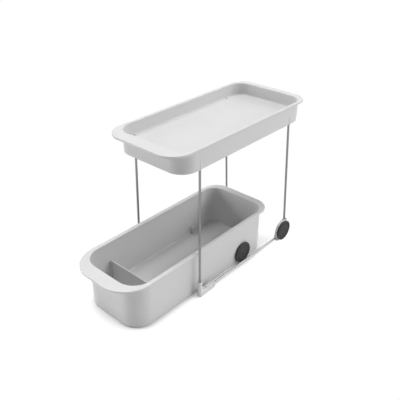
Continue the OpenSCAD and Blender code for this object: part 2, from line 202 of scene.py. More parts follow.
def lathe(outline: list[Pair], origin: Point, axis: Point, steps: int, ring: bool = False) -> Form:
    """Round form about a line.

    Args:
        outline: points of (radius, distance along the axis), in order.
        origin: point that the distances start from.
        axis: direction of the line.
        steps: number of points round the form.
        ring: whether the outline is closed, as for a tyre.

    Returns:
        The form, with its ends closed unless it is a ring.
    """
    along = Vector(axis).normalized()
    across = along.orthogonal().normalized()
    third = along.cross(across)
    rings = []
    for radius, distance in outline:
        middle = Vector(origin) + along * distance
        turn = [2 * math.pi * i / steps for i in range(steps)]
        rings.append([middle + (across * math.cos(a) + third * math.sin(a)) * radius for a in turn])
    return Form().skin(rings, not ring, not ring, closed=ring)


def block(low: Point, high: Point, edge: float) -> Form:
    """Box between two corners with rounded edges, as for a moulded rib."""
    shape = bmesh.new()
    bmesh.ops.create_cube(shape, size=1.0)
    middle = (Vector(low) + Vector(high)) / 2
    size = Vector(high) - Vector(low)
    for corner in shape.verts:
        corner.co = middle + Vector([corner.co[i] * size[i] for i in range(3)])
    bmesh.ops.bevel(shape, geom=shape.edges[:], offset=edge, offset_type="OFFSET",
                    segments=EDGE_STEPS, profile=EDGE_PROFILE, affect="EDGES")
    shape.verts.index_update()
    form = Form([v.co.copy() for v in shape.verts], [tuple(v.index for v in f.verts) for f in shape.faces])
    shape.free()
    return form


@dataclass(frozen=True)
class Plan:
    """Outline of a tier seen from above, with a corner radius at each end."""

    half: float
    front: float
    rear: float
    front_r: float
    rear_r: float
    corner_steps: int = 16

    def ring(self, inset: float, z: float) -> list[Vector]:
        """Points of the outline at a height.

        Args:
            inset: distance that the outline is drawn in by.
            z: height of the points.

        Returns:
            The points, anticlockwise from the front right corner.
        """
        half = self.half - inset
        front = self.front + inset
        rear = self.rear - inset
        corners = (
            (1, -1, self.front_r - inset, -90),
            (1, 1, self.rear_r - inset, 0),
            (-1, 1, self.rear_r - inset, 90),
            (-1, -1, self.front_r - inset, 180),
        )
        points = []
        for sx, sy, radius, start in corners:
            x = sx * (half - radius)
            y = rear - radius if sy > 0 else front + radius
            for i in range(self.corner_steps + 1):
                a = math.radians(start + 90 * i / self.corner_steps)
                points.append(Vector((x + radius * math.cos(a), y + radius * math.sin(a), z)))
        return points

    def rounding(self, centre: Pair, radius: float, start: float, end: float, steps: int) -> Rings:
        """Rings along an arc of the section, where quarter gives each one's inset and height."""
        return [self.ring(inset, z) for inset, z in quarter(centre, radius, start, end, steps)]


@dataclass(frozen=True)
class Post:
    """Axis of an upright, from the floor to the tray's skirt edge."""

    foot: Point
    top: Point

    def at(self, z: float) -> Point:
        """Point of the axis at a height."""
        share = z / self.top[2]
        return tuple(p + (q - p) * share for p, q in zip(self.foot, self.top))

    @property
    def direction(self) -> Point:
        """Direction of the axis upward."""
        return tuple(Vector(self.top) - Vector(self.foot))


FRONT_POST = Post((97.2, -85.5, 0.0), (93.0, -79.5, 311.0))
REAR_POST = Post((95.6, 240.5, 0.0), (93.0, 224.5, 311.0))


@dataclass(frozen=True)
class Noise:
    """Soft noise: its waves in a metre and its number of finer layers."""

    scale: float
    detail: float


@dataclass(frozen=True)
class Relief:
    """Raised noise: how strong it is, and how deep in metres."""

    noise: Noise
    strength: float
    depth: float


@dataclass(frozen=True)
class Wear:
    """Rubbed edges: pointiness where they begin and where they are full, and their tone."""

    start: float
    full: float
    tone: float


def scaled(colour: Colour, factor: float) -> Colour:
    """A colour made lighter or darker by a factor."""
    return tuple(min(1.0, part * factor) for part in colour)


class Nodes:
    """Adds nodes to a tree and joins them."""

    def __init__(self, tree: bpy.types.NodeTree, output: str) -> None:
        """Empties the tree and adds its output, a kind of node as for add."""
        self.tree = tree
        self.tree.nodes.clear()
        self.out = self.add(output)

    def add(self, kind: str, links: dict | None = None, values: dict | None = None,
            **settings: object) -> bpy.types.Node:
        """Adds a node.

        Args:
            kind: Blender's name of the node's kind, without its first word.
            links: sockets of other nodes by input name or number.
            values: plain values by input name or number.
            settings: attributes of the node.

        Returns:
            The new node.
        """
        node = self.tree.nodes.new("ShaderNode" + kind)
        for key, value in settings.items():
            setattr(node, key, value)
        for key, value in (values or {}).items():
            node.inputs[key].default_value = value
        for key, socket in (links or {}).items():
            self.tree.links.new(socket, node.inputs[key])
        return node

    def math(self, operation: str, first: bpy.types.NodeSocket,
             second: bpy.types.NodeSocket | float = 0.0) -> bpy.types.NodeSocket:
        """Works out a value from one or two others by Blender's name of the operation."""
        node = self.add("Math", {0: first}, operation=operation)
        if isinstance(second, float):
            node.inputs[1].default_value = second
        else:
            self.tree.links.new(second, node.inputs[1])
        return node.outputs[0]

    def seen(self) -> bpy.types.NodeSocket:
        """Gives 1 where the eye looks, directly or by way of metal or glass, and 0 elsewhere."""
        rays = self.add("LightPath").outputs
        direct = self.math("MAXIMUM", rays["Is Camera Ray"], rays["Is Glossy Ray"])
        return self.math("MAXIMUM", direct, rays["Is Transmission Ray"])

    def close(self, shader: bpy.types.Node) -> None:
        """Joins the last shader to the output."""
        self.tree.links.new(shader.outputs[0], self.out.inputs[0])


class Graph(Nodes):
    """Lays the nodes of one material."""

    def __init__(self, name: str) -> None:
        """Starts an empty material of this name."""
        self.material = bpy.data.materials.new(name)
        self.material.use_nodes = True
        super().__init__(self.material.node_tree, "OutputMaterial")
        self.place = self.add("TexCoord").outputs["Object"]

    def noise(self, noise: Noise, stretch: Point | None = None) -> bpy.types.NodeSocket:
        """Noise fixed to the object; where it makes streaks, with a scale for each direction."""
        place = self.place
        if stretch is not None:
            place = self.add("Mapping", {"Vector": place}, {"Scale": stretch}).outputs[0]
        numbers = {"Scale": noise.scale, "Detail": noise.detail}
        return self.add("TexNoise", {"Vector": place}, numbers).outputs[0]

    def spread(self, value: bpy.types.NodeSocket, low: float, high: float, start: float = 0.3,
               end: float = 0.7) -> bpy.types.NodeSocket:
        """Maps a value to a range, held at its ends.

        Args:
            value: what is mapped.
            low: result at start.
            high: result at end.
            start: value that gives low.
            end: value that gives high.

        Returns:
            The mapped value.
        """
        numbers = {"From Min": start, "From Max": end, "To Min": low, "To Max": high}
        return self.add("MapRange", {"Value": value}, numbers).outputs[0]

    def around(self, noise: Noise, middle: float, swing: Pair) -> bpy.types.NodeSocket:
        """Value that noise moves about a middle, by no more than the swing."""
        return self.spread(self.noise(noise), middle + swing[0], middle + swing[1])

    def tint(self, share: bpy.types.NodeSocket, first: object, second: object) -> bpy.types.NodeSocket:
        """Mixes two colours or colour sockets by the share of the second."""
        node = self.tree.nodes.new("ShaderNodeMix")
        node.data_type = "RGBA"
        self.tree.links.new(share, node.inputs[0])
        # Inputs 6 and 7 of the node are its two colours
        for number, colour in ((6, first), (7, second)):
            if isinstance(colour, tuple):
                node.inputs[number].default_value = (*colour, 1.0)
            else:
                self.tree.links.new(colour, node.inputs[number])
        return node.outputs[2]

    def tones(self, value: bpy.types.NodeSocket, colour: Colour, tones: Pair) -> bpy.types.NodeSocket:
        """Mixes a darker and a lighter tone of one colour by a noise's value."""
        share = self.spread(value, 0.0, 1.0)
        return self.tint(share, scaled(colour, tones[0]), scaled(colour, tones[1]))

    def rubbed(self, base: bpy.types.NodeSocket, colour: Colour, wear: Wear) -> bpy.types.NodeSocket:
        """Lays another tone of the colour over the base on outward edges."""
        point = self.add("NewGeometry").outputs["Pointiness"]
        share = self.spread(point, 0.0, 1.0, wear.start, wear.full)
        return self.tint(share, base, scaled(colour, wear.tone))

    def bump(self, height: bpy.types.NodeSocket, strength: float, depth: float,
             under: bpy.types.NodeSocket | None = None) -> bpy.types.NodeSocket:
        """Turns a height into a surface relief, laid on another if one is given."""
        links = {"Height": height}
        if under is not None:
            links["Normal"] = under
        return self.add("Bump", links, {"Strength": strength, "Distance": depth}).outputs[0]

    def raised(self, relief: Relief, under: bpy.types.NodeSocket | None = None) -> bpy.types.NodeSocket:
        """Surface relief of plain noise, laid on another if one is given."""
        return self.bump(self.noise(relief.noise), relief.strength, relief.depth, under)

    def finish(self, links: dict, values: dict) -> bpy.types.Material:
        """Ends the material with its shader.

        Args:
            links: sockets that drive the shader, by input name.
            values: constants on the shader, by input name.

        Returns:
            The material.
        """
        self.close(self.add("BsdfPrincipled", links, values))
        return self.material


@dataclass(frozen=True)
class MouldedPlastic:
    """Matt injection-moulded plastic with a fine spark-eroded texture."""

    name: str
    colour: Colour
    roughness: float = 0.5
    clouds: Noise = Noise(7.0, 3.0)
    cloud_tones: Pair = (0.975, 1.02)
    specks: Noise = Noise(1400.0, 1.0)
    speck_range: Pair = (0.35, 0.75)
    speck_share: float = 0.35
    speck_tone: float = 0.93
    wear: Wear = Wear(0.52, 0.62, 1.04)
    smears: Noise = Noise(38.0, 4.0)
    smear_swing: Pair = (-0.06, 0.08)
    waves: Relief = Relief(Noise(26.0, 2.0), 0.12, 0.0006)
    grain: Relief = Relief(Noise(1500.0, 2.0), 0.10, 0.0002)
    ior: float = 1.48
    gloss: float = 0.35

    def material(self) -> bpy.types.Material:
        """Builds the material: grain, slow shade changes, rubbed edges and handling marks."""
        g = Graph(self.name)
        base = g.tones(g.noise(self.clouds), self.colour, self.cloud_tones)
        speck = g.spread(g.noise(self.specks), 0.0, self.speck_share, *self.speck_range)
        base = g.tint(speck, base, scaled(self.colour, self.speck_tone))
        base = g.rubbed(base, self.colour, self.wear)
        rough = g.around(self.smears, self.roughness, self.smear_swing)
        relief = g.raised(self.grain, g.raised(self.waves))
        return g.finish({"Base Color": base, "Roughness": rough, "Normal": relief},
                        {"IOR": self.ior, "Specular IOR Level": self.gloss})


@dataclass(frozen=True)
class DrawnSteel:
    """Steel wire or pin with marks along its length."""

    name: str
    colour: Colour
    roughness: float
    stretch: Point = (1.0, 1.0, 0.02)
    rim_tint: float = 0.6
    marks: Relief = Relief(Noise(2600.0, 2.0), 0.15, 0.0001)
    mark_tones: Pair = (0.86, 1.1)
    film: Noise = Noise(45.0, 3.0)
    film_range: Pair = (0.45, 0.75)
    film_share: float = 0.5
    film_tone: float = 0.8
    spots: Noise = Noise(160.0, 3.0)
    spot_swing: Pair = (-0.07, 0.1)

    def material(self) -> bpy.types.Material:
        """Builds the material: draw marks along the wire, dull spots and a darker film."""
        g = Graph(self.name)
        marks = g.noise(self.marks.noise, self.stretch)
        base = g.tones(marks, self.colour, self.mark_tones)
        film = g.spread(g.noise(self.film), 0.0, self.film_share, *self.film_range)
        base = g.tint(film, base, scaled(self.colour, self.film_tone))
        dull = g.around(self.spots, self.roughness, self.spot_swing)
        relief = g.bump(marks, self.marks.strength, self.marks.depth)
        tint = (self.rim_tint, self.rim_tint, self.rim_tint, 1.0)
        return g.finish({"Base Color": base, "Roughness": dull, "Normal": relief},
                        {"Metallic": 1.0, "Specular Tint": tint})


@dataclass(frozen=True)
class Rubber:
    """Soft rubber or elastomer with a dusty bloom on its edges."""

    name: str
    colour: Colour
    roughness: float = 0.62
    bloom: Noise = Noise(120.0, 4.0)
    bloom_tones: Pair = (0.82, 1.25)
    wear: Wear = Wear(0.52, 0.6, 1.7)
    scuffs: Noise = Noise(420.0, 2.0)
    scuff_swing: Pair = (-0.08, 0.12)
    grain: Relief = Relief(Noise(1900.0, 2.0), 0.2, 0.0002)
    gloss: float = 0.35

    def material(self) -> bpy.types.Material:
        """Builds the material: fine grain, bloom and scuffed edges."""
        g = Graph(self.name)
        base = g.tones(g.noise(self.bloom), self.colour, self.bloom_tones)
        base = g.rubbed(base, self.colour, self.wear)
        rough = g.around(self.scuffs, self.roughness, self.scuff_swing)
        return g.finish({"Base Color": base, "Roughness": rough, "Normal": g.raised(self.grain)},
                        {"Specular IOR Level": self.gloss})


@dataclass(frozen=True)
class TurnedPlastic:
    """Dark plastic of a hub or cap, with faint turned rings about the wheel's axle."""

    name: str
    colour: Colour
    axle: Pair
    roughness: float = 0.42
    rings: Relief = Relief(Noise(620.0, 2.0), 0.18, 0.0002)
    ring_wobble: float = 0.25
    patches: Noise = Noise(210.0, 4.0)
    patch_tones: Pair = (0.8, 1.3)
    wear: Wear = Wear(0.52, 0.62, 1.5)
    scuffs: Noise = Noise(500.0, 3.0)
    scuff_swing: Pair = (0.0, 0.16)
    grain: Relief = Relief(Noise(1700.0, 2.0), 0.12, 0.0002)
    gloss: float = 0.15

    def material(self) -> bpy.types.Material:
        """Builds the material: rings by the distance from the axle, grain and edge wear."""
        g = Graph(self.name)
        moved = {"Location": (0.0, -self.axle[0] * MM, -self.axle[1] * MM), "Scale": (0.0, 1.0, 1.0)}
        flat = g.add("Mapping", {"Vector": g.place}, moved).outputs[0]
        size = self.rings.noise
        waves = {"Scale": size.scale, "Detail": size.detail, "Distortion": self.ring_wobble}
        turned = g.add("TexWave", {"Vector": flat}, waves, wave_type="RINGS", rings_direction="SPHERICAL")
        base = g.tones(g.noise(self.patches), self.colour, self.patch_tones)
        base = g.rubbed(base, self.colour, self.wear)
        rough = g.around(self.scuffs, self.roughness, self.scuff_swing)
        under = g.bump(turned.outputs["Fac"], self.rings.strength, self.rings.depth)
        relief = g.raised(self.grain, under)
        return g.finish({"Base Color": base, "Roughness": rough, "Normal": relief},
                        {"Specular IOR Level": self.gloss})


Finish = MouldedPlastic | DrawnSteel | Rubber | TurnedPlastic

TRAY_PLASTIC = MouldedPlastic("tray_moulded_grey", (0.56, 0.563, 0.56))
BIN_PLASTIC = MouldedPlastic("bin_moulded_grey", (0.605, 0.607, 0.605))
DIVIDER_PLASTIC = MouldedPlastic("divider_moulded_grey", (0.60, 0.603, 0.60), roughness=0.46)
CONNECTOR_PLASTIC = MouldedPlastic("connector_moulded_grey", (0.68, 0.683, 0.68), roughness=0.46)
UPRIGHT_STEEL = DrawnSteel("upright_drawn_steel", (0.30, 0.30, 0.297), 0.36, rim_tint=0.3)
# The rail is the uprights' steel drawn lighter: the extra lightness is painted light that gives the rail a
# bright lower half.
RAIL_STEEL_LIGHTENED = DrawnSteel("rail_drawn_steel", (0.36, 0.36, 0.356), 0.5, stretch=(1.0, 0.02, 1.0))
AXLE_STEEL = DrawnSteel("axle_turned_steel", (0.45, 0.45, 0.45), 0.25, stretch=(0.05, 1.0, 1.0))
TYRE_RUBBER = Rubber("tyre_dark_rubber", (0.030, 0.030, 0.032))
PAD_RUBBER = Rubber("pad_grey_rubber", (0.07, 0.07, 0.072), roughness=0.7)
GLIDE_PLASTIC = Rubber("glide_grey_plastic", (0.10, 0.10, 0.103), roughness=0.45)
HUB_COLOUR = (0.022, 0.022, 0.024)
CAP_COLOUR = (0.038, 0.038, 0.042)


class Workshop:
    """Keeps one material for each finish and dresses pieces."""

    def __init__(self) -> None:
        """Starts with no materials made."""
        self.made: dict[str, bpy.types.Material] = {}

    def coat(self, finish: Finish) -> bpy.types.Material:
        """The material of a finish, made once."""
        if finish.name not in self.made:
            self.made[finish.name] = finish.material()
        return self.made[finish.name]

    def dress(self, piece: bpy.types.Object, finish: Finish, slot: str, body: str, *nodes: str) -> None:
        """Gives a piece its finish, its body and the nodes that it stands for.

        Args:
            piece: the finished object.
            finish: the finish of its surface.
            slot: not used.
            body: body that it moves with.
            nodes: nodes that it replaces.
        """
        piece.data.materials.clear()
        piece.data.materials.append(self.coat(finish))
        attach(piece, body)
        if nodes:
            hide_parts(*nodes)
        LOG.info("%s rides on %s", piece.name, body)

    def recoat(self, node: str, finish: Finish) -> None:
        """Gives a node that keeps its mesh a new finish."""
        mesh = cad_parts[node].data
        mesh.materials.clear()
        mesh.materials.append(self.coat(finish))
        LOG.info("%s keeps its mesh", node)


@dataclass(frozen=True)
class Lamp:
    """Square soft lamp: its place, the length of its side in metres, and its watts."""

    name: str
    place: Point
    side: float
    power: float


@dataclass
class Studio:
    """Camera, floor, surroundings and lamps."""

    # Camera: place, point that it looks at, turn in degrees, focal length and sensor's width
    eye: Point = (727.7, -780.8, 797.2)
    target: Point = (15.3, 6.5, 174.5)
    roll: float = -0.17
    lens: float = 49.19
    sensor: float = 36.0
    # Nearest and farthest distance that it sees, in metres
    clip: Pair = (0.02, 60.0)
    # Floor: half its side in metres, its grey, and its own light beside the object and away from it
    floor_half: float = 6.0
    floor_grey: float = 0.84
    floor_glow: Pair = (0.08, 0.95)
    # Middle and half of the object's footprint in x and in y, and its corners' radius, in metres
    footprint: tuple[Pair, Pair] = ((0.0, 0.088), (-0.046, 0.212))
    shade_corner: float = 0.045
    # Metres over which that light rises, and the power that it follows
    shade_reach: float = 0.26
    shade_power: float = 0.38
    # Shares of that distance between which plain white takes over, and the white's strength
    clear_range: Pair = (0.04, 0.3)
    clear_white: float = 1.01
    # Strength of the surroundings' light on the object
    ambient: float = 0.13
    # The lamps, and the point that they face
    aim: Point = (0.0, 0.0, 150.0)
    lamps: tuple[Lamp, ...] = (
        Lamp("top_lamp", (-250.0, -220.0, 2600.0), 1.8, 55.0),
        Lamp("right_lamp", (1950.0, 900.0, 1150.0), 1.4, 21.0),
        Lamp("right_rear_lamp", (1230.0, 1760.0, 1500.0), 1.4, 20.0),
        Lamp("front_lamp", (-1600.0, -1600.0, 600.0), 1.4, 29.0),
        Lamp("rear_lamp", (-1900.0, 1500.0, 700.0), 1.4, 7.0),
    )

    @staticmethod
    def aimed(place: Point, target: Point) -> tuple[Matrix, Matrix]:
        """Move and turn that bring something to a place, to face a target."""
        turn = (Vector(target) - Vector(place)).to_track_quat("-Z", "Y").to_matrix().to_4x4()
        return Matrix.Translation(Vector(place) * MM), turn

    def camera(self) -> None:
        """Sets the camera where the picture was taken from."""
        data = bpy.data.cameras.new("camera")
        data.lens = self.lens
        data.sensor_width = self.sensor
        data.clip_start, data.clip_end = self.clip
        camera = bpy.data.objects.new("camera", data)
        move, look = self.aimed(self.eye, self.target)
        camera.matrix_world = move @ look @ Matrix.Rotation(math.radians(self.roll), 4, "Z")
        bpy.context.scene.collection.objects.link(camera)
        bpy.context.scene.camera = camera

    def openness(self, g: Graph) -> bpy.types.NodeSocket:
        """Share that rises from 0 at the object's footprint to 1 away from it."""
        place = g.add("SeparateXYZ", {0: g.place})
        squares = []
        for way, (middle, half) in enumerate(self.footprint):
            offset = g.math("ABSOLUTE", g.math("SUBTRACT", place.outputs[way], middle))
            beyond = g.math("MAXIMUM", g.math("SUBTRACT", offset, half - self.shade_corner))
            squares.append(g.math("POWER", beyond, 2.0))
        distance = g.math("SQRT", g.math("ADD", *squares))
        return g.spread(distance, 0.0, 1.0, self.shade_corner, self.shade_corner + self.shade_reach)

    def floor(self) -> None:
        """Lays a floor that keeps the shadow beside the object and is plain white away from it."""
        s = self.floor_half
        mesh = bpy.data.meshes.new("floor")
        mesh.from_pydata([(-s, -s, 0), (s, -s, 0), (s, s, 0), (-s, s, 0)], [], [(0, 1, 2, 3)])
        floor = bpy.data.objects.new("floor", mesh)
        bpy.context.scene.collection.objects.link(floor)
        g = Graph("studio_floor")
        seen = g.seen()
        share = self.openness(g)
        grey = (self.floor_grey, self.floor_grey, self.floor_grey, 1.0)
        matt = g.add("BsdfDiffuse", values={"Color": grey})
        level = g.spread(g.math("POWER", share, self.shade_power), *self.floor_glow, 0.0, 1.0)
        glow = g.add("Emission", {"Strength": g.math("MULTIPLY", seen, level)}, {"Color": WHITE})
        shaded = g.add("AddShader", {0: matt.outputs[0], 1: glow.outputs[0]})
        white = g.add("Emission", values={"Color": WHITE, "Strength": self.clear_white})
        cover = g.math("MULTIPLY", seen, g.spread(share, 0.0, 1.0, *self.clear_range))
        g.close(g.add("MixShader", {0: cover, 1: shaded.outputs[0], 2: white.outputs[0]}))
        floor.data.materials.append(g.material)

    def world(self) -> None:
        """Makes the surroundings: white to the eye and in reflections, plain light elsewhere."""
        world = bpy.data.worlds.new("studio")
        bpy.context.scene.world = world
        world.use_nodes = True
        g = Nodes(world.node_tree, "OutputWorld")
        plain = g.add("Background", values={"Color": WHITE, "Strength": self.ambient})
        white = g.add("Background", values={"Color": WHITE, "Strength": 1.0})
        g.close(g.add("MixShader", {0: g.seen(), 1: plain.outputs[0], 2: white.outputs[0]}))

    def hang(self, lamp: Lamp) -> None:
        """Hangs a lamp that points at the object."""
        data = bpy.data.lights.new(lamp.name, "AREA")
        data.size = lamp.side
        data.energy = lamp.power
        light = bpy.data.objects.new(lamp.name, data)
        move, turn = self.aimed(lamp.place, self.aim)
        light.matrix_world = move @ turn
        bpy.context.scene.collection.objects.link(light)

    def set_up(self) -> None:
        """Builds the whole studio."""
        bpy.context.scene.view_settings.view_transform = "Standard"
        self.camera()
        self.floor()
        self.world()
        for lamp in self.lamps:
            self.hang(lamp)


@dataclass
class Tier:
    """Open moulded tier with a flanged rim."""

    # Outlines of the flange and of the opening
    rim: Plan
    mouth: Plan
    # Heights of the rim, of the lowest edge and of the floor's upper face
    top: float
    low: float
    floor_z: float
    # Thickness of the wall, and how far it leans in over its height
    wall: float
    lean: float
    # Height of the band round the flange, and the radius on its lower edges
    band_h: float
    band_edge: float
    # Radii over the mouth, on the lowest edge and under the floor
    lip: float
    tip: float
    hollow: float
    # Distance from the wall to the flat middle of the floor
    middle: float
    # Thickness of the band and of the flange
    band_w: float = 2.4
    plate_t: float = 2.6
    # Radii on the flange's upper edge, under the flange and over the floor
    edge: float = 1.1
    root: float = 1.4
    fillet: float = 4.0

    def inset(self, z: float) -> float:
        """Inset of the inner wall face at a height."""
        return self.lean * (self.top - z) / (self.top - self.low)

    def bowl(self) -> Rings:
        """Rings from the middle of the floor, up the inside and over the flange to the outer wall."""
        inside = self.floor_z + self.fillet
        foot = self.inset(inside) + self.fillet
        turn = self.top - self.lip
        bend = self.band_edge
        bottom = self.top - self.band_h
        under = self.top - self.plate_t
        outside = self.inset(under) - self.wall
        return [
            self.mouth.ring(foot + self.middle, self.floor_z),
            *self.mouth.rounding((foot, inside), self.fillet, -90, -180, 6),
            *self.mouth.rounding((self.inset(turn) - self.lip, turn), self.lip, 0, 90, 5),
            *self.rim.rounding((self.edge, self.top - self.edge), self.edge, 90, 180, 6),
            *self.rim.rounding((bend, bottom + bend), bend, 180, 270, 3),
            *self.rim.rounding((self.band_w - bend, bottom + bend), bend, -90, 0, 3),
            *self.rim.rounding((self.band_w + bend, under - bend), bend, 180, 90, 3),
            *self.mouth.rounding((outside - self.root, under - self.root), self.root, 90, 0, 4),
        ]


@dataclass
class Tray(Tier):
    """Shallow moulded tray with a short skirt and sockets for the uprights."""

    rim: Plan = Plan(101.0, -157.5, 290.5, 45.0, 36.0)
    mouth: Plan = Plan(94.0, -128.5, 274.5, 37.0, 32.5)
    top: float = 360.0
    low: float = 311.0
    floor_z: float = 330.0
    wall: float = 2.5
    lean: float = 1.2
    band_h: float = 5.0
    band_edge: float = 0.6
    lip: float = 2.0
    tip: float = 0.9
    hollow: float = 1.5
    middle: float = 14.0
    # Socket: radius, reach below the skirt, height of its end, radii on its lower and upper edge
    socket_r: float = 3.6
    socket_drop: float = 0.8
    socket_top: float = 333.0
    socket_edge: float = 0.4
    socket_dome: float = 1.2
    # Its bore: radius, bevel at the mouth, and the roof over its middle and its edge
    bore_r: float = 2.55
    bore_edge: float = 0.3
    bore_roof: Pair = (4.5, 4.6)

    def section(self) -> Rings:
        """Rings of the tray from the middle of its floor, over the rim, to its underside."""
        foot = self.inset(self.low)
        level = self.low + self.tip
        ceiling = self.floor_z - self.wall
        under = (self.inset(ceiling) + self.hollow, ceiling - self.hollow)
        return [
            *self.bowl(),
            *self.mouth.rounding((foot - self.wall + self.tip, level), self.tip, 180, 270, 4),
            *self.mouth.rounding((foot - self.tip, level), self.tip, -90, 0, 4),
            *self.mouth.rounding(under, self.hollow, 180, 90, 4),
            self.mouth.ring(self.inset(ceiling) + self.middle, ceiling),
        ]

    def socket(self, post: Post) -> Form:
        """Boss on the right side for an upright's upper end, open below and domed above."""
        start = post.at(self.low - self.socket_drop)
        top = self.socket_top - start[2]
        edge = self.socket_edge
        dome = self.socket_dome
        outline = [
            (POLE_R, top - self.bore_roof[0]),
            (self.bore_r, top - self.bore_roof[1]),
            (self.bore_r, self.bore_edge),
            (self.bore_r + self.bore_edge, 0.0),
            *quarter((self.socket_r - edge, edge), edge, -90, 0, 3),
            *quarter((self.socket_r - dome, top - dome), dome, 0, 90, 4),
            (POLE_R, top),
        ]
        return lathe(outline, start, post.direction, BOSS_STEPS)

    def build(self, shop: Workshop) -> None:
        """Makes the tray and dresses it."""
        form = Form().skin(self.section(), True, True)
        for post in (FRONT_POST, REAR_POST):
            for side in Side:
                form.add(self.socket(post).on(side))
        shop.dress(form.build("tray_shell"), TRAY_PLASTIC, "tray_plastic", Body.FRAME.value, "upper_tray")


@dataclass
class Bin(Tier):
    """Deep moulded bin with guides for the divider, bosses for its axles and seats for its glides."""

    rim: Plan = Plan(91.06, -290.5, 183.5, 67.0, 42.0)
    mouth: Plan = Plan(81.46, -258.0, 165.0, 43.0, 32.5)
    top: float = 112.0
    low: float = 1.0
    floor_z: float = 8.0
    wall: float = 2.8
    lean: float = 1.1
    band_h: float = 4.0
    band_edge: float = 0.5
    lip: float = 2.2
    tip: float = 0.4
    hollow: float = 0.8
    middle: float = 12.0
    # Radius on the outer lower edge, and the width of the flat edge round the underside
    edge_r: float = 3.5
    foot_w: float = 2.0
    # Axle boss: radius, ends in x, and the radius on its inner end
    boss_r: float = 6.1
    boss_in: float = 72.46
    boss_out: float = 84.26
    boss_edge: float = 1.2
    # Rib below it: half its thickness, how far it ends before the boss, and its edges' radius
    rib_half: float = 1.5
    rib_back: float = 1.6
    rib_edge: float = 0.5
    # Depth that ribs and guides are sunk into the floor
    sunk: float = 0.8
    # Divider guide: thickness, distance to the divider's middle, upper end and edges' radius
    guide: float = 2.4
    guide_gap: float = 1.5
    guide_top: float = 64.5
    guide_edge: float = 0.7
    # Glide's place in x and y; its seat's radius, depth in the floor, and bevel's start and width
    glide: Pair = (54.5, -231.0)
    glide_r: float = 9.0
    seat_sunk: float = 1.0
    seat_low: float = 1.5
    seat_edge: float = 0.5

    def section(self) -> Rings:
        """Rings of the bin from the middle of its floor, over the rim, to its underside."""
        corner = (self.lean - self.wall + self.edge_r, self.low + self.edge_r)
        foot = self.edge_r + self.foot_w
        ceiling = self.floor_z - self.wall
        return [
            *self.bowl(),
            *self.mouth.rounding(corner, self.edge_r, 180, 270, 7),
            *self.mouth.rounding((foot - self.tip, self.low + self.tip), self.tip, -90, 0, 2),
            *self.mouth.rounding((foot + self.hollow, ceiling - self.hollow), self.hollow, 180, 90, 3),
            self.mouth.ring(foot + self.middle, ceiling),
        ]

    def boss(self) -> Form:
        """Axle boss of the right side, and the rib that carries it from the floor."""
        y, z = BIN_AXLE
        long = self.boss_out - self.boss_in
        edge = self.boss_edge
        outline = [(POLE_R, long), (self.boss_r, long)]
        outline += quarter((self.boss_r - edge, edge), edge, 0, -90, 4)
        outline.append((POLE_R, 0.0))
        form = lathe(outline, (self.boss_in, y, z), ACROSS, BOSS_STEPS)
        low = (self.boss_in, y - self.rib_half, self.floor_z - self.sunk)
        high = (self.boss_out - self.rib_back, y + self.rib_half, z)
        return form.add(block(low, high, self.rib_edge))

    def guides(self) -> Form:
        """The two guides that hold the divider's right end."""
        form = Form()
        inner = self.mouth.half - self.lean - self.guide
        outer = self.mouth.half + self.wall / 2
        for start in (DIVIDER_Y - self.guide_gap - self.guide, DIVIDER_Y + self.guide_gap):
            low = (inner, start, self.floor_z - self.sunk)
            form.add(block(low, (outer, start + self.guide, self.guide_top), self.guide_edge))
        return form

    def seat(self) -> Form:
        """Seat that the right glide plugs into."""
        high = self.floor_z - self.seat_sunk
        outline = [(POLE_R, high), (self.glide_r, high), (self.glide_r, self.seat_low),
                   (self.glide_r - self.seat_edge, self.low), (POLE_R, self.low)]
        return lathe(outline, (*self.glide, 0.0), UP, BOSS_STEPS)

    def build(self, shop: Workshop) -> None:
        """Makes the bin and dresses it."""
        form = Form().skin(self.section(), True, True)
        for side in Side:
            form.add(self.boss().add(self.guides()).add(self.seat()).on(side))
        shop.dress(form.build("bin_shell"), BIN_PLASTIC, "bin_plastic", Body.BIN.value, "lower_bin")


@dataclass
class Divider:
    """Thin low cross wall that slides down between its guides."""

    # Half its width, the heights of its edges, and its thickness
    half: float = 79.8
    low: float = 8.3
    top: float = 65.5
    thick: float = 2.4
    # Radii of its lower and upper corners
    corner: float = 4.0
    shoulder: float = 1.2
    # Insets of its outline, each with its depth from the face
    bevel: tuple[Pair, ...] = ((0.9, 0.0), (0.25, 0.25), (0.0, 0.9))

    def outline(self, inset: float) -> list[Pair]:
        """Points of (x, z) round the divider, drawn in by an inset."""
        x = self.half - inset
        low = self.low + inset
        top = self.top - inset
        r = self.corner
        s = self.shoulder
        return [
            *quarter((x - r, low + r), r, -90, 0, 6),
            *quarter((x - s, top - s), s, 0, 90, 4),
            *quarter((s - x, top - s), s, 90, 180, 4),
            *quarter((r - x, low + r), r, 180, 270, 6),
        ]

    def build(self, shop: Workshop) -> None:
        """Makes the divider and dresses it."""
        steps = [(inset, depth - self.thick / 2) for inset, depth in self.bevel]
        steps += [(inset, -depth) for inset, depth in reversed(steps)]
        rings = []
        for inset, depth in steps:
            rings.append([Vector((x, DIVIDER_Y + depth, z)) for x, z in self.outline(inset)])
        form = Form().skin(rings, True, True)
        shop.dress(form.build("divider_wall", SLIM_CREASE), DIVIDER_PLASTIC, "divider_plastic",
                   Body.DIVIDER.value, "divider")


